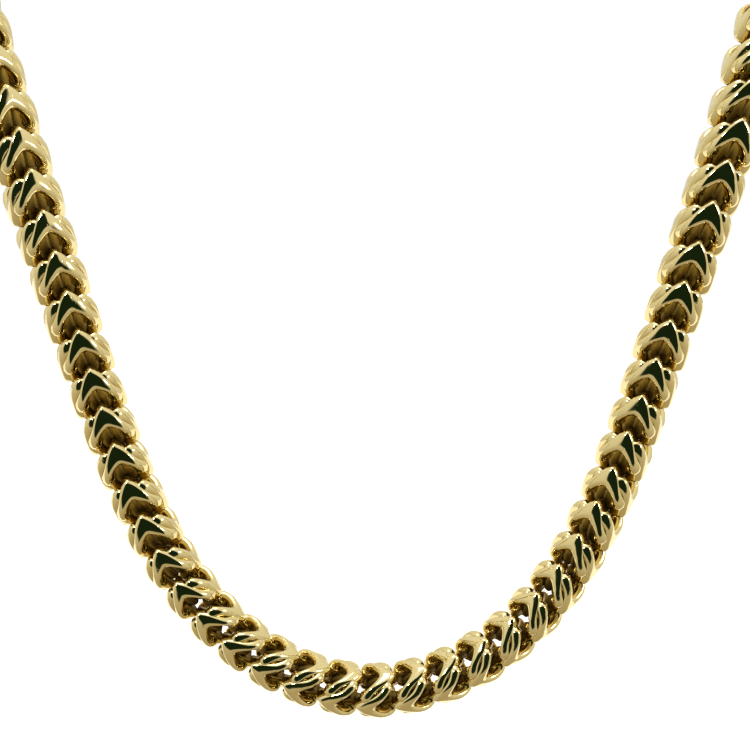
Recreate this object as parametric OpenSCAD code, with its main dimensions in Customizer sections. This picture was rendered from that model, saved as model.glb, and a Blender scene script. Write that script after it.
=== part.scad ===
// Franco chain necklace: a square chain of V-shaped links, closed by a plain barrel clasp.
// Millimetres, +Z up. The origin is where the clasp rests on the nape, and the front hangs towards -Y.

/* [Chain] */
// Width of the square chain, from one face to the opposite face
face_w = 5.0; // [4.0:0.1:5.4]
// Width from one rounded corner to the opposite corner
corner_w = 5.4; // [4.4:0.1:5.8]
// Rings of the swept form in each stretch of the route
rings_per_stretch = 2; // [1:1:2]

/* [Twist] */
// Turn of the chain about its own line, in degrees for each stretch of the route near the front
turn_rate = 13.6; // [0:0.2:16]
// Stretches over which the turning eases off towards the neck
turn_reach = 12; // [6:1:20]
// Place along the route, right of the middle, where a corner faces straight forward
corner_front_at = 0.4; // [-1:0.1:1]

/* [Clasp] */
// Length of the barrel clasp from end face to end face
clasp_len = 15; // [12:0.5:15]
// Diameter of the two end collars
collar_d = 7.0; // [6.4:0.1:7.4]
// Diameter of the barrel between the collars
barrel_d = 6.2; // [5.6:0.1:6.4]
// Length of each end collar
collar_len = 2.2; // [1.6:0.1:3]
// Radius of the rounded rim of a collar
rim_r = 0.6; // [0.3:0.1:0.8]

/* [Hidden] */
gold = [0.86, 0.76, 0.47];

// The route of the chain's middle line, from the lowest point at the front round the right side to the nape.
// Columns: x sideways, y depth (front is negative), z height.
right_half = [
    [0,    -138.5, -169.5],
    [12,   -138.5, -165],
    [20.5, -138.5, -154.5],
    [25,   -138.5, -141.5],
    [28.5, -138.5, -128.5],
    [32,   -138.5, -115],
    [36,   -138,   -100],
    [41,   -135,   -84],
    [47,   -127.5, -67.5],
    [53,   -114.5, -51.5],
    [58,   -97.5,  -37.5],
    [61,   -77.5,  -25.5],
    [60.5, -56.5,  -16],
    [55,   -36.5,  -9],
    [44,   -18.5,  -4],
    [29,   -4.5,   -1.5],
    [11,   4,      -0.5]
];
half_count = len(right_half);
left_half = [for (i = [half_count - 1 : -1 : 1])
    [-right_half[i][0], right_half[i][1], right_half[i][2]]];
route = concat(right_half, left_half);
route_count = len(route);

// The nape lies midway between the last point of the right half and its mirror image.
nape_at = half_count - 0.5;
// Share of a stretch, on each side of the nape, that the clasp takes up
clasp_share = 0.39;

// Height below which the chain hangs in one upright plane, and height above which it wraps the neck
flat_below = -115;
wrap_above = -60;
// Depth of the neck's upright middle line
neck_y = -58;

function pick(i) = route[(i + 2 * route_count) % route_count];

// A smooth cubic curve past the route's points, with u counted in stretches from the lowest point
function blend3(a, b, c, d, t) =
    (pow(1 - t, 3) * a + (3 * pow(t, 3) - 6 * t * t + 4) * b
    + (-3 * pow(t, 3) + 3 * t * t + 3 * t + 1) * c + pow(t, 3) * d) / 6;
function centre_at(u) =
    let (i = floor(u), t = u - floor(u))
    blend3(pick(i - 1), pick(i), pick(i + 1), pick(i + 2), t);
function along_at(u) = unit(centre_at(u + 0.02) - centre_at(u - 0.02));
function unit(v) = v / norm(v);

// The direction away from the wearer: straight forward at the front, and outward round the neck
function ease(t) = let (c = max(0, min(1, t))) c * c * (3 - 2 * c);
function outward_at(p) =
    let (g = ease((p[2] - flat_below) / (wrap_above - flat_below)))
    unit((1 - g) * [0, -1, 0] + g * unit([p[0], p[1] - neck_y, 0]));

// Turn of the section, in degrees: a corner faces forward at the middle and a face on each branch
function turn_at(u) =
    let (x = (u - corner_front_at) / turn_reach)
    turn_rate * turn_reach * x / sqrt(1 + x * x);

// One ring of the section: a square with its corners cut, as [across, out] pairs
cut_at = corner_w * sqrt(2) - face_w;
section = [for (k = [0 : 3])
    for (side = [-1, 1])
        let (a = 90 * k, half = face_w / 2, off = side * cut_at / 2)
        [half * cos(a) - off * sin(a), half * sin(a) + off * cos(a)]];
sides = len(section);

function ring_at(u) =
    let (
        p = centre_at(u), along = along_at(u),
        out = unit(outward_at(p) - (outward_at(p) * along) * along),
        across = cross(out, along),
        a = 45 - turn_at(u)
    )
    [for (q = section)
        p + (q[0] * cos(a) - q[1] * sin(a)) * out + (q[0] * sin(a) + q[1] * cos(a)) * across];

module chain() {
    first = clasp_share - nape_at;
    last = nape_at - clasp_share;
    steps = round((last - first) * rings_per_stretch);
    points = [for (k = [0 : steps]) each ring_at(first + (last - first) * k / steps)];
    walls = [for (k = [0 : steps - 1]) for (j = [0 : sides - 1])
        let (a = k * sides + j, b = k * sides + (j + 1) % sides)
        each [[a, b, b + sides], [a, b + sides, a + sides]]];
    start_cap = [for (j = [sides - 1 : -1 : 0]) j];
    end_cap = [for (j = [0 : sides - 1]) steps * sides + j];
    color(gold) polyhedron(points, concat(walls, [start_cap, end_cap]));
}

// Half of the barrel's profile: a waist between two collars with rounded rims
module barrel_profile() {
    square([barrel_d / 2, clasp_len]);
    for (z = [0, clasp_len - collar_len]) translate([0, z]) {
        square([collar_d / 2 - rim_r, collar_len]);
        translate([0, rim_r]) square([collar_d / 2, collar_len - 2 * rim_r]);
        for (e = [rim_r, collar_len - rim_r])
            translate([collar_d / 2 - rim_r, e]) circle(r = rim_r, $fn = 48);
    }
}

module clasp() {
    color(gold)
    translate(centre_at(nape_at) - [clasp_len / 2, 0, 0])
    rotate([0, 90, 0])
    rotate_extrude($fn = 96)
    barrel_profile();
}

chain();
clasp();
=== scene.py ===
# %% [markdown]
# A franco chain is a square chain: small V-shaped links sit on all four faces, and the points of the V's
# on one face look the opposite way from those on the next face. Polished gold shows mostly what is round
# it, so the shape of each link and the light of the room matter more than the colour of the metal.
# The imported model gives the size: everything here is in metres, in the model's own frame.

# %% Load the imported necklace
import math

import bpy
import numpy as np
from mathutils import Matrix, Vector


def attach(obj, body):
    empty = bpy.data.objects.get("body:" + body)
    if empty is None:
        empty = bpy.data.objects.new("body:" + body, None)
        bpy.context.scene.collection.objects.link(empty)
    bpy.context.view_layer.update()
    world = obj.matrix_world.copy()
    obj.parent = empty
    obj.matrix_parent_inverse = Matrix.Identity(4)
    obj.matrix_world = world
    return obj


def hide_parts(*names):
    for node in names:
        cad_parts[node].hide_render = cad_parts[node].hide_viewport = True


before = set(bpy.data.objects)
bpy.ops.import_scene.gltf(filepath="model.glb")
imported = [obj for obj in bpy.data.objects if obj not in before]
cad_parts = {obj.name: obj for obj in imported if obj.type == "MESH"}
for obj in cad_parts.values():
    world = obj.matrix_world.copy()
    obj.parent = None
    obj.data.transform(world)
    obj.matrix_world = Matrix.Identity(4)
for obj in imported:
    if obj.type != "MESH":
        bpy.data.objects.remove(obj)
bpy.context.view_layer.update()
MM = 0.001

# %% [markdown]
# The necklace follows one smooth line. Seen from the front, it comes from the nape down the left branch,
# passes the hanging front, and climbs the right branch to the nape again. A curve object could carry it,
# but every link needs its exact place and direction, so the line is computed: its points are listed
# for one half and mirrored for the other, and a cubic B-spline passes smoothly by them.

# %% The route of the chain
# Columns: x sideways, y depth (the front is negative), z height, in millimetres
RIGHT_HALF = np.array([
    (0, -138.5, -169.5), (12, -138.5, -165), (20.5, -138.5, -154.5), (25, -138.5, -141.5),
    (28.5, -138.5, -128.5), (32, -138.5, -115), (36, -138, -100), (41, -135, -84),
    (47, -127.5, -67.5), (53, -114.5, -51.5), (58, -97.5, -37.5), (61, -77.5, -25.5),
    (60.5, -56.5, -16), (55, -36.5, -9), (44, -18.5, -4), (29, -4.5, -1.5), (11, 4, -0.5),
])
ROUTE = np.concatenate([RIGHT_HALF, (RIGHT_HALF[1:] * [-1, 1, 1])[::-1]]) * MM


def route_point(u):
    """Points of the B-spline at u, counted in stretches from the lowest point of the front."""
    i = np.floor(u).astype(int)
    t = (u - i)[:, None]
    a, b, c, d = (ROUTE[(i + k) % len(ROUTE)] for k in (-1, 0, 1, 2))
    return ((1 - t) ** 3 * a + (3 * t**3 - 6 * t**2 + 4) * b
            + (-3 * t**3 + 3 * t**2 + 3 * t + 1) * c + t**3 * d) / 6


print("points of the route:", len(ROUTE))

# %% [markdown]
# The clasp takes up a short share of the route on each side of the nape, and the chain takes the rest.
# The line of the chain is sampled finely and measured by its length, because links are evenly spaced
# by length, while the stretches of the route are not equally long.

# %% Measure the line of the chain
NAPE_AT = len(RIGHT_HALF) - 0.5
CLASP_SHARE = 0.39
LINE_SAMPLES = 9001
u_line = np.linspace(CLASP_SHARE - NAPE_AT, NAPE_AT - CLASP_SHARE, LINE_SAMPLES)
line = route_point(u_line)
length_at = np.concatenate([[0], np.cumsum(np.linalg.norm(np.diff(line, axis=0), axis=1))])
print("chain without its clasp, mm:", round(length_at[-1] / MM, 1))

# %% [markdown]
# A square chain also turns about its own line. In the photograph a corner faces nearly forward at the
# bottom, and by the time the chain has climbed each branch one of the faces has turned to the front.
# So each sample of the line also gets two directions, the normals of two neighbouring faces. They are
# counted from the way out of the necklace: straight forward at the front, away from the neck further up.

# %% The turning frame along the line
FLAT_BELOW, WRAP_ABOVE = -115 * MM, -60 * MM
NECK_Y = -58 * MM
# At TURN_MIDDLE, in stretches of the route, the first face stands TURN_START degrees from the way out and
# the chain turns fastest, by TURN_RATE degrees a stretch. A longer TURN_REACH keeps it turning further up.
TURN_MIDDLE, TURN_START = 0.4, 63
TURN_RATE, TURN_REACH = 12.6, 22


def unit(v):
    """The same directions with length 1."""
    return v / np.linalg.norm(v, axis=-1, keepdims=True)


def ease(t):
    """A soft step from 0 to 1 while t goes from 0 to 1."""
    t = np.clip(t, 0, 1)
    return t * t * (3 - 2 * t)


along = unit(np.gradient(line, axis=0))
wrap = ease((line[:, 2:] - FLAT_BELOW) / (WRAP_ABOVE - FLAT_BELOW))
round_neck = unit(np.c_[line[:, 0], line[:, 1] - NECK_Y, 0 * line[:, 0]])
outward = unit((1 - wrap) * [0, -1, 0] + wrap * round_neck)
out = unit(outward - np.sum(outward * along, axis=1, keepdims=True) * along)
across = np.cross(out, along)
eased = (u_line - TURN_MIDDLE) / TURN_REACH
turn = np.radians(TURN_START - TURN_RATE * TURN_REACH * eased / np.sqrt(1 + eased**2))[:, None]
face_1 = np.cos(turn) * out + np.sin(turn) * across
face_2 = np.sin(turn) * out - np.cos(turn) * across
print("turn at the two ends, degrees:", [round(float(np.degrees(turn[k, 0]))) for k in (0, -1)])

# %% [markdown]
# One link is an oval ring of wire folded into a V over a face of the chain. The outer strand is a broad
# band, polished flat where it lies in the face, and the inner strand runs thinner inside the chain.
# At the bottom, where the chain bends most, the links look slim with gaps between them, and on the branches
# they look full and close. So some sizes have two values: one for an open link and one for a tight link.

# %% The sizes of a link
PITCH_MM = 3.7
PITCHES = round(length_at[-1] / (PITCH_MM * MM))
PITCH = length_at[-1] / PITCHES
# All sizes of a link are shares of the pitch. Those of the ring go to the middle of its wire: half its
# width, and how far its outer strand, its two ends and its inner strand are from the chain's line
HALF_SPAN = 0.44
FRONT_AT, TIP_AT, INNER_AT = 0.50, 0.28, 0.14
# A power below 1 keeps both strands level and makes the bends at the ends short
DEPTH_POWER = 0.52
# The slope of the V's arms, the roundness of its point, and how far its ends droop
V_SLOPE, V_ROUND, V_DROOP = 0.92, 0.04, 0.24
# How far the inner strand lies back from the V's point, or towards it where the value is below 0
OPEN_DROP, TIGHT_DROP = 0.14, -0.06
# Half the height of the band at its point, and how fast it gets lower to both sides
OPEN_TALL, TIGHT_TALL = 0.28, 0.33
OPEN_TAPER, TIGHT_TAPER = 0.21, 0.27
# Half the thickness of the inner strand and of the wire at the two ends, and half the depth of the band
OPEN_INNER, TIGHT_INNER = 0.13, 0.19
TIP_THICK, BAND_DEEP = 0.19, 0.25
# The band is more square near the point of the V, and the leading edge of the point leans inwards
SQUARE_OFF, SQUARE_REACH = 0.25, 0.4
POINT_LEAN, POINT_REACH = 0.2, 0.35
# How far the polished faces and the bevels of the corners are from the chain's line, and how soft they are
FACE_PLANE, FACE_SOFT = 0.675, 0.003
CORNER_PLANE, CORNER_SOFT = 0.77, 0.11
print("pitches:", PITCHES, "of mm:", round(PITCH / MM, 3))

# %% [markdown]
# The link could be made by hand in Edit Mode, but a formula keeps every size named and easy to tune.
# An ellipse seen along the chain gives the middle of the wire, and a V gives each of its points a height.
# Round each of them goes one loop of points, the cross-section of the wire there. At the end, all points
# that stand beyond a face or a corner bevel are pressed down to it, as grinding and polishing would do.

# %% The points of one link
RING_STEPS, WIRE_SIDES = 48, 12
# Steps lie closer together on the outer strand, and the band keeps its full depth over most of it
STEP_GATHER = 0.35
BAND_SPREAD = 1.6


def press_flat(v, plane, soft):
    """Leaves what is inside a plane and presses what stands beyond it down to it, with a soft edge."""
    return plane - soft * np.logaddexp(0, (plane - v) / soft)


def rounded(v, power):
    """A sine or cosine made more square by a power below 1."""
    return np.sign(v) * np.abs(v) ** power


def link_points(inner_drop, band_tall, taper, inner_thick):
    """Points of one link as [side, out, along], in pitches, with the V's point towards +along."""
    # The middle of the wire: the angle is 0 in the middle of the outer strand
    step = np.arange(RING_STEPS) * 2 * math.pi / RING_STEPS
    angle = step - STEP_GATHER * np.sin(step)
    side = HALF_SPAN * np.sin(angle)
    reach = np.where(np.cos(angle) > 0, FRONT_AT - TIP_AT, TIP_AT - INNER_AT)
    depth = TIP_AT + reach * rounded(np.cos(angle), DEPTH_POWER)
    height = -V_SLOPE * (np.sqrt(side**2 + V_ROUND**2) - V_ROUND)
    height -= V_DROOP * np.abs(np.sin(angle)) ** 3 + inner_drop * ((1 - np.cos(angle)) / 2) ** 2
    middle = np.stack([side, depth, height], axis=1)
    run = np.roll(middle, -1, axis=0) - np.roll(middle, 1, axis=0)
    away = unit(np.stack([-run[:, 1], run[:, 0], 0 * angle], axis=1))

    # Half sizes of the wire: front grows from 0 on the inner strand to 1 at the two ends of the ring,
    # and outer from 0 there to 1 on the outer strand
    front = ease(2 * (np.cos(angle) + 0.5))
    outer = ease(np.cos(angle) * BAND_SPREAD)
    tall = band_tall - taper * np.abs(side)
    tall = inner_thick + (tall - inner_thick) * front
    deep = inner_thick + (TIP_THICK - inner_thick) * front + (BAND_DEEP - TIP_THICK) * outer

    # The loops of points round the wire
    power = (1 - SQUARE_OFF * ease(1 - np.abs(side) / SQUARE_REACH) * outer)[:, None]
    turned = np.arange(WIRE_SIDES) * 2 * math.pi / WIRE_SIDES + math.pi / WIRE_SIDES
    across_wire = deep[:, None] * rounded(np.cos(turned), power)
    along_wire = tall[:, None] * rounded(np.sin(turned), power)
    points = middle[:, None] + across_wire[..., None] * away[:, None]
    points[..., 2] += along_wire
    near_point = ease(1 - np.abs(side) / POINT_REACH) * outer
    points[..., 1] -= POINT_LEAN * near_point[:, None] * np.clip(np.sin(turned), 0, 1) ** 3
    points = points.reshape(-1, 3)

    # The polished face, and the bevels of the two corners of the chain beside it
    points[:, 1] = press_flat(points[:, 1], FACE_PLANE, FACE_SOFT)
    to_corner = (points[:, 1] + np.abs(points[:, 0])) / math.sqrt(2)
    cut = (to_corner - press_flat(to_corner, CORNER_PLANE, CORNER_SOFT)) / math.sqrt(2)
    points[:, 1] -= cut
    points[:, 0] -= cut * np.sign(points[:, 0])
    return points


LINK = link_points(OPEN_DROP, OPEN_TALL, OPEN_TAPER, OPEN_INNER)
TIGHT_LINK = link_points(TIGHT_DROP, TIGHT_TALL, TIGHT_TAPER, TIGHT_INNER)
print("one link:", len(LINK), "points, half width", round(float(np.abs(LINK[:, 0]).max()), 3))

# %% [markdown]
# Quads join each loop of points to the next one, and the last loop to the first, so the ring is closed.
# Each point also remembers how deep it lies in the chain. The gold uses that later for a painted shade that
# darkens the hollows, where the links shade each other. Ambient occlusion could find the hollows too, but
# it is slow.

# %% The quads and the depth shade of a link
# The shade is 1 up to DARK_INSIDE from the chain's line and fades out over DARK_FADE. Sideways counts less.
DARK_INSIDE, DARK_FADE = 0.22, 0.28
DARK_SIDEWAYS = 0.75
LINK_RECESS = 1 - ease((np.hypot(LINK[:, 0] * DARK_SIDEWAYS, LINK[:, 1]) - DARK_INSIDE) / DARK_FADE)
LINK_FACES = np.array([
    (i * WIRE_SIDES + j, (i + 1) % RING_STEPS * WIRE_SIDES + j,
     (i + 1) % RING_STEPS * WIRE_SIDES + (j + 1) % WIRE_SIDES, i * WIRE_SIDES + (j + 1) % WIRE_SIDES)
    for i in range(RING_STEPS) for j in range(WIRE_SIDES)
])
print("quads of one link:", len(LINK_FACES), "mean depth shade:", round(float(LINK_RECESS.mean()), 2))

# %% [markdown]
# The links of two opposite faces stand level with each other. Those of the other two faces point the other
# way and are set back, so the arms of neighbouring V's run side by side at the corners of the chain.
# On the real chain every ring holds the next ones inside, and here the inner strands only suggest that.
# An array along a curve could place the links, but it can't change them from open to tight, so numpy bends
# every point of every link along the line. The first and last links run on a little into the clasp's ends.

# %% Place the links along the line
# All in pitches: where the first level stands, how far the other two faces are set back, and how far links
# may run on past both ends of the line
LEVEL_AT = 0.99
SET_BACK = -0.70
OVERRUN = 1.0
# On each side of the bottom this many levels of links are open, and the next ones turn tight
OPEN_LEVELS, CLOSING_LEVELS = 5, 4


def on_line(distance, table):
    """Values of a table kept along the line, at distances from its first end."""
    return np.stack([np.interp(distance, length_at, table[:, k]) for k in range(3)], axis=-1)


def placed_links(first, last):
    """Points, quads and depth shade of all links between two levels of the chain."""
    points, faces, recess, count = [], [], [], 0
    for level in range(first, last):
        from_bottom = abs(level + 0.5 - PITCHES / 2)
        tight = ease((from_bottom - OPEN_LEVELS) / CLOSING_LEVELS)
        link = LINK + (TIGHT_LINK - LINK) * tight
        for face in range(4):
            flip = -1 if face % 2 else 1
            quarter = face * math.pi / 2
            side = link[:, 0] * flip
            x = link[:, 1] * math.cos(quarter) - side * math.sin(quarter)
            y = link[:, 1] * math.sin(quarter) + side * math.cos(quarter)
            z = level + LEVEL_AT + flip * link[:, 2] + (SET_BACK if face % 2 else 0)
            if z.min() < -OVERRUN or z.max() > PITCHES + OVERRUN:
                continue
            distance = z * PITCH
            past_end = distance - np.clip(distance, 0, length_at[-1])
            bent = on_line(distance, line) + past_end[:, None] * on_line(distance, along)
            bent += ((x * PITCH)[:, None] * on_line(distance, face_1)
                     + (y * PITCH)[:, None] * on_line(distance, face_2))
            points.append(bent)
            faces.append(LINK_FACES + count * len(LINK))
            recess.append(LINK_RECESS)
            count += 1
    return np.concatenate(points), np.concatenate(faces), np.concatenate(recess)


print("two faces are set back by, mm:", round(-SET_BACK * PITCH / MM, 2))

# %% [markdown]
# Hundreds of separate objects would be slow to handle, and one object for the whole chain would be heavy.
# So the links are joined in six meshes, three for each side of the necklace as it is seen from the front.
# The depth shade goes with each mesh as an attribute of its points, which a material can read by its name.

# %% Make the six pieces of the chain
STRETCHES = {"links_neck_left": (0.0, 0.18), "links_side_left": (0.18, 0.34),
             "links_front_left": (0.34, 0.5), "links_front_right": (0.5, 0.66),
             "links_side_right": (0.66, 0.82), "links_neck_right": (0.82, 1.0)}


def mesh_piece(name, points, faces):
    """A new smooth-shaded object from numpy points and quads."""
    mesh = bpy.data.meshes.new(name)
    mesh.from_pydata(points.tolist(), [], faces.tolist())
    mesh.shade_smooth()
    piece = bpy.data.objects.new(name, mesh)
    bpy.context.collection.objects.link(piece)
    return piece


pieces = {}
for name, (start, end) in STRETCHES.items():
    # The two outermost stretches also try one level more, past the end of the line
    first = round(start * PITCHES) - (start == 0)
    last = round(end * PITCHES) + (end == 1)
    points, faces, recess = placed_links(first, last)
    pieces[name] = mesh_piece(name, points, faces)
    shade = pieces[name].data.attributes.new("recess", "FLOAT", "POINT")
    shade.data.foreach_set("value", recess.astype(np.float32))
    print(name, "triangles", 2 * len(faces))

# %% [markdown]
# Polished gold is never perfect: it carries hairline scratches, tiny pits and faint smears. The hollows
# between links also get a painted shade, a darker colour for the shadow they lie in. The links and the
# clasp share this wear and shade, so they live in one node group that puts out masks and a normal, and each
# material keeps its own shader.
# An image texture would need unwrapped meshes, while procedural noise works on every link as it is.

# %% Start the group of the shared wear and painted shade
wear_and_shade = bpy.data.node_groups.new("polish_wear_and_painted_shade", "ShaderNodeTree")
for socket in ("Smear Scale", "Hairline Strength", "Pit Strength"):
    wear_and_shade.interface.new_socket(socket, in_out="INPUT", socket_type="NodeSocketFloat")
for socket, kind in {"Smears": "Float", "Painted Shade": "Float", "Normal": "Vector"}.items():
    wear_and_shade.interface.new_socket(socket, in_out="OUTPUT", socket_type="NodeSocket" + kind)


def add(tree, kind, inputs=(), **settings):
    """A new node with its settings, and constants or links on its inputs."""
    node = tree.nodes.new(kind)
    for key, value in settings.items():
        setattr(node, key, value)
    for socket, value in dict(inputs).items():
        if isinstance(value, bpy.types.NodeSocket):
            tree.links.new(value, node.inputs[socket])
        else:
            node.inputs[socket].default_value = value
    return node


print("sockets of the shared wear:", [item.name for item in wear_and_shade.interface.items_tree])

# %% [markdown]
# Smears, hairlines and pits are textures cut off at a level, so that only spots or lines are left.
# Smears are broad and only dull the shine. Hairlines come from noise stretched one way, and pits from the
# middles of Voronoi cells. Bump nodes in a row put them, and the soft waves that hand polishing leaves,
# into one normal. Modelling such marks would take millions of faces, and nobody would see their outline.

# %% Smears, hairlines and pits
amounts = add(wear_and_shade, "NodeGroupInput").outputs
place = add(wear_and_shade, "ShaderNodeTexCoord").outputs["Object"]
smears = add(wear_and_shade, "ShaderNodeTexNoise", {
    "Vector": place, "Scale": amounts["Smear Scale"], "Detail": 3, "Roughness": 0.6})
smears = add(wear_and_shade, "ShaderNodeMapRange", {
    "Value": smears.outputs["Fac"], "From Min": 0.42, "From Max": 0.7})
stretched = add(wear_and_shade, "ShaderNodeMapping", {
    "Vector": place, "Rotation": (0.4, 0.9, 0.5), "Scale": (1, 1, 0.06)})
hairlines = add(wear_and_shade, "ShaderNodeTexNoise", {"Vector": stretched.outputs[0], "Scale": 9000, "Detail": 2})
hairlines = add(wear_and_shade, "ShaderNodeMapRange", {
    "Value": hairlines.outputs["Fac"], "From Min": 0.64, "From Max": 0.72})
pits = add(wear_and_shade, "ShaderNodeTexVoronoi", {"Vector": place, "Scale": 1500, "Randomness": 1})
pits = add(wear_and_shade, "ShaderNodeMapRange", {
    "Value": pits.outputs["Distance"], "From Min": 0.05, "From Max": 0.13})
waves = add(wear_and_shade, "ShaderNodeTexNoise", {"Vector": place, "Scale": 900, "Detail": 1})
soft = add(wear_and_shade, "ShaderNodeBump", {
    "Height": waves.outputs["Fac"], "Strength": 0.05, "Distance": 0.0004})
scratched = add(wear_and_shade, "ShaderNodeBump", {
    "Height": hairlines.outputs[0], "Strength": amounts["Hairline Strength"], "Distance": 0.00002,
    "Normal": soft.outputs[0]}, invert=True)
pitted = add(wear_and_shade, "ShaderNodeBump", {
    "Height": pits.outputs[0], "Strength": amounts["Pit Strength"], "Distance": 0.00003,
    "Normal": scratched.outputs[0]})
print("nodes for smears, hairlines and pits:", len(wear_and_shade.nodes))

# %% [markdown]
# The painted shade of the hollows is the depth shade of the links, made patchy by noise. The clasp has no
# such attribute, so the node reads 0 there and the barrel gets no painted shade. A dark paint on whole
# links would not do, because the painted shade ends softly where the polished faces begin.

# %% The painted shade of the hollows
deep_at = add(wear_and_shade, "ShaderNodeAttribute", attribute_name="recess")
# Painted shade: deeper points get a darker colour, standing in for the shadow inside the chain
patchy = add(wear_and_shade, "ShaderNodeTexNoise", {"Vector": place, "Scale": 700, "Detail": 2})
painted_shade = add(wear_and_shade, "ShaderNodeMath", {0: patchy.outputs["Fac"], 1: 0.5, 2: 0.7}, operation="MULTIPLY_ADD")
painted_shade = add(wear_and_shade, "ShaderNodeMath", {0: deep_at.outputs["Fac"], 1: painted_shade.outputs[0]},
           operation="MULTIPLY", use_clamp=True)
add(wear_and_shade, "NodeGroupOutput", {
    "Smears": smears.outputs[0], "Painted Shade": painted_shade.outputs[0], "Normal": pitted.outputs[0]})
print("shared wear nodes:", len(wear_and_shade.nodes))

# %% [markdown]
# The chain is a pale yellow gold. In its hollows a painted shade turns the gold amber and then nearly
# black, which separates the links from each other. A metal's own colour tints all that it mirrors, so one
# colour ramp over the painted shade does this. The shaded hollows are rough too, and a smear is a little
# duller than clean gold.

# %% Gold for the links and for the clasp
# Pale gold is the metal's colour; the amber and the nearly black after it are painted shade for the
# hollows, and the roughness below is added where that shade is painted
PALE, AMBER_SHADE, DARK_SHADE = (0.76, 0.63, 0.31, 1), (0.56, 0.37, 0.07, 1), (0.22, 0.145, 0.035, 1)
AMBER_SHADE_AT, DARK_SHADE_AT = 0.35, 0.95
SHADE_ROUGH = 0.45


def gold(name, polish, dull):
    """A gold material: roughness `polish` where it is clean, and `dull` where it is smeared."""
    material = bpy.data.materials.new(name)
    material.use_nodes = True
    tree = material.node_tree
    tree.nodes.clear()
    group = add(tree, "ShaderNodeGroup", {
        "Smear Scale": 420, "Hairline Strength": 0.06, "Pit Strength": 0.25}, node_tree=wear_and_shade)
    # Painted shade: the ramp darkens the gold to amber and then nearly black in the hollows
    tone = add(tree, "ShaderNodeValToRGB", {0: group.outputs["Painted Shade"]})
    tone.color_ramp.elements[0].color = PALE
    tone.color_ramp.elements[1].color = DARK_SHADE
    tone.color_ramp.elements[1].position = DARK_SHADE_AT
    middle = tone.color_ramp.elements.new(AMBER_SHADE_AT)
    middle.color = AMBER_SHADE
    rough = add(tree, "ShaderNodeMapRange", {
        "Value": group.outputs["Smears"], "To Min": polish, "To Max": dull})
    rough = add(tree, "ShaderNodeMath", {0: group.outputs["Painted Shade"], 1: SHADE_ROUGH, 2: rough.outputs[0]},
                operation="MULTIPLY_ADD", use_clamp=True)
    shader = add(tree, "ShaderNodeBsdfPrincipled", {
        "Base Color": tone.outputs[0], "Metallic": 1, "Roughness": rough.outputs[0],
        "Normal": group.outputs["Normal"]})
    add(tree, "ShaderNodeOutputMaterial", {"Surface": shader.outputs[0]})
    return material, shader


chain_gold, _ = gold("chain_gold", 0.05, 0.13)
clasp_gold, clasp_shader = gold("clasp_gold", 0.12, 0.22)
print("materials:", chain_gold.name, clasp_gold.name)

# %% [markdown]
# The clasp has the same gold with a finish of its own: a barrel is turned on a lathe, so fine rings run
# round it, and it is a little less bright. A wave texture in bands along the barrel gives the rings.
# They go into the normal after the shared wear, so both show.

# %% The turned rings of the clasp
tree = clasp_gold.node_tree
spun_at = add(tree, "ShaderNodeTexCoord").outputs["Object"]
rings = add(tree, "ShaderNodeTexWave", {"Vector": spun_at, "Scale": 900, "Distortion": 0.6, "Detail": 1},
            wave_type="BANDS", bands_direction="X")
worn_normal = clasp_shader.inputs["Normal"].links[0].from_socket
lathed = add(tree, "ShaderNodeBump", {
    "Height": rings.outputs["Fac"], "Strength": 0.12, "Distance": 0.00003, "Normal": worn_normal})
tree.links.new(lathed.outputs[0], clasp_shader.inputs["Normal"])
print("nodes of the clasp's gold:", len(tree.nodes))

# %% [markdown]
# The six pieces take the place of the plain tube that stands for the chain in the imported model, which is
# hidden, and they get the chain's gold. The clasp stays as it was packed, because a plain barrel needs no
# finer form here, and only its material is exchanged.

# %% Dress the pieces and the clasp
for piece in pieces.values():
    piece.data.materials.append(chain_gold)
    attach(piece, "root")
    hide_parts("chain")
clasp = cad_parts["clasp"]
for place_in_list in range(len(clasp.data.materials)):
    clasp.data.materials[place_in_list] = clasp_gold
print("clasp materials:", [m.name for m in clasp.data.materials])

# %% [markdown]
# The camera looks slightly down at the hanging front, from close by. Its place and lens were worked out
# from the bend of the chain in the photograph, and the numbers below only repeat that result. The Standard
# view shows colours as the nodes give them, which keeps pale gold pale.

# %% The camera
TARGET = np.array([0.3, -138.5, -135.5]) * MM
LOOK_DOWN = math.radians(10.4)
DISTANCE = 81.5 * MM
SENSOR_MM, LENS_MM = 36, 41.3
NEAREST_SEEN = 0.005
TO_CAMERA = np.array([0, -math.cos(LOOK_DOWN), math.sin(LOOK_DOWN)])
camera = bpy.data.objects.new("camera", bpy.data.cameras.new("camera"))
bpy.context.collection.objects.link(camera)
camera.location = TARGET + DISTANCE * TO_CAMERA
camera.rotation_euler = (math.pi / 2 - LOOK_DOWN, 0, 0)
camera.data.sensor_width = SENSOR_MM
camera.data.lens = LENS_MM
camera.data.clip_start = NEAREST_SEEN
bpy.context.scene.camera = camera
bpy.context.scene.view_settings.view_transform = "Standard"
print("camera at, mm:", [round(v / MM, 1) for v in camera.location])

# %% [markdown]
# Mirror-like metal is lit by what it reflects. The room is a bright soft tent, warm below and white above,
# with a dark opening on the camera's side: metal that faces the opening mirrors it and goes dark, and the
# rest stays pale. The opening is a fixed range of directions of the world, so it stays there in every view.
# What shows straight behind the necklace is plain white, as in a studio picture.

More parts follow.
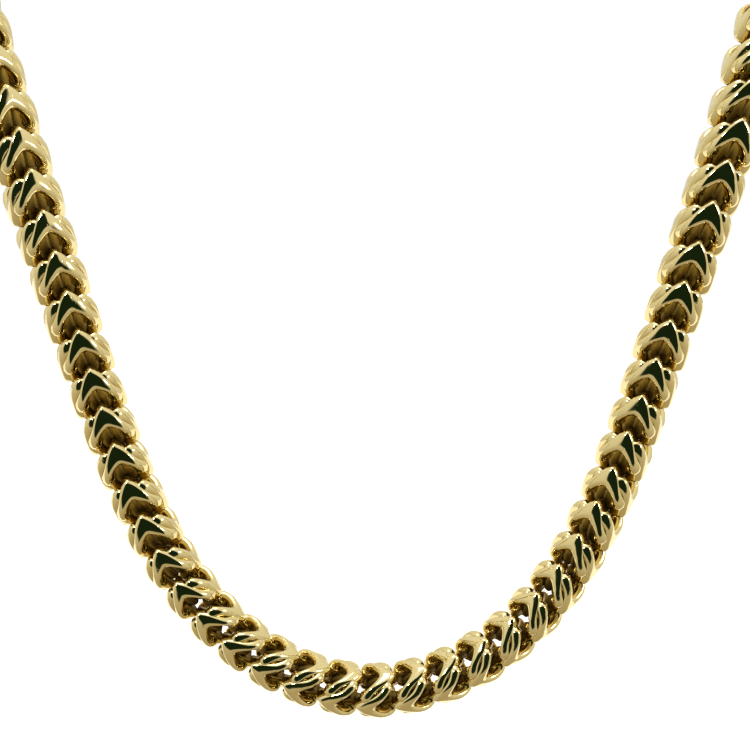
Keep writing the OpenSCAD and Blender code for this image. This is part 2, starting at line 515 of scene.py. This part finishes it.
# %% The room
# Cosines of the angle to the camera's direction: the opening begins at the first and is dark at the second
OPENING_EDGE, OPENING_DARK = 0.61, 0.71
OPENING_TONE = (0.010, 0.022, 0.010, 1)
TENT_LOW, TENT_MIDDLE, TENT_HIGH = (0.50, 0.43, 0.30, 1), (0.78, 0.75, 0.64, 1), (1.1, 1.1, 1.06, 1)
TENT_MIDDLE_AT = 0.45
world = bpy.data.worlds.new("studio")
bpy.context.scene.world = world
world.use_nodes = True
sky = world.node_tree
sky.nodes.clear()
seen_way = add(sky, "ShaderNodeTexCoord").outputs["Generated"]
to_opening = add(sky, "ShaderNodeVectorMath", {0: seen_way, 1: tuple(TO_CAMERA)}, operation="DOT_PRODUCT")
opening = add(sky, "ShaderNodeMapRange", {
    "Value": to_opening.outputs["Value"], "From Min": OPENING_EDGE, "From Max": OPENING_DARK},
    interpolation_type="SMOOTHSTEP")
height_of = add(sky, "ShaderNodeSeparateXYZ", {0: seen_way}).outputs["Z"]
height_share = add(sky, "ShaderNodeMapRange", {"Value": height_of, "From Min": -1, "From Max": 1})
tent = add(sky, "ShaderNodeValToRGB", {0: height_share.outputs[0]})
tent.color_ramp.elements[0].color = TENT_LOW
tent.color_ramp.elements[1].color = TENT_HIGH
band = tent.color_ramp.elements.new(TENT_MIDDLE_AT)
band.color = TENT_MIDDLE
tent_light = add(sky, "ShaderNodeBackground", {"Color": tent.outputs[0]})
dark_light = add(sky, "ShaderNodeBackground", {"Color": OPENING_TONE})
room = add(sky, "ShaderNodeMixShader", {
    0: opening.outputs[0], 1: tent_light.outputs[0], 2: dark_light.outputs[0]})
backdrop = add(sky, "ShaderNodeBackground", {"Color": (1, 1, 1, 1)})
straight = add(sky, "ShaderNodeLightPath").outputs["Is Camera Ray"]
seen = add(sky, "ShaderNodeMixShader", {0: straight, 1: room.outputs[0], 2: backdrop.outputs[0]})
add(sky, "ShaderNodeOutputWorld", {"Surface": seen.outputs[0]})
print("nodes of the room:", len(sky.nodes))

# %% [markdown]
# The tent alone would leave the gold flat. Two small soft lamps, a high one on the left and a lower one on
# the right, add white glints along the edges of the links, and a large one brightens them from above.


# %% The lamps
def lamp(name, place_mm, aim_mm, size_mm, power):
    """A square soft lamp aimed at a point."""
    data = bpy.data.lights.new(name, "AREA")
    data.size = size_mm * MM
    data.energy = power
    light = bpy.data.objects.new(name, data)
    bpy.context.collection.objects.link(light)
    at, aim = np.array(place_mm) * MM, np.array(aim_mm) * MM
    light.location = at
    light.rotation_euler = Vector(aim - at).to_track_quat("-Z", "Y").to_euler()


lamp("key_lamp", (-160, -330, 90), (0, -138, -120), 50, 0.22)
lamp("side_lamp", (240, -260, -20), (0, -138, -120), 50, 0.12)
lamp("top_lamp", (0, -120, 330), (0, -100, -80), 220, 0.6)
print("lamps:", [light.name for light in bpy.data.lights])

# %% [markdown]
# A plain pale floor lies well below the necklace and runs far back, where it meets the white behind.
# Its front edge is under the necklace: metal that looks down and forward still mirrors the warm lower tent.
# A faint grain and a glow of its own keep it nearly white.

# %% The floor
FLOOR_SIZE, FLOOR_AT = 6, (0, 2900, -330)
FLOOR_GLOW = 0.5
bpy.ops.mesh.primitive_plane_add(size=FLOOR_SIZE, location=np.array(FLOOR_AT) * MM)
plane = bpy.context.object
plane.name = "floor"
floor_white = bpy.data.materials.new("floor")
floor_white.use_nodes = True
tree = floor_white.node_tree
shader = tree.nodes["Principled BSDF"]
grain = add(tree, "ShaderNodeTexNoise", {"Scale": 40, "Detail": 4})
tone = add(tree, "ShaderNodeMapRange", {"Value": grain.outputs["Fac"], "To Min": 0.90, "To Max": 0.94})
tree.links.new(tone.outputs[0], shader.inputs["Base Color"])
shader.inputs["Roughness"].default_value = 0.8
shader.inputs["Emission Color"].default_value = (1, 1, 1, 1)
shader.inputs["Emission Strength"].default_value = FLOOR_GLOW
plane.data.materials.append(floor_white)
print("floor at height, mm:", round(plane.location.z / MM))
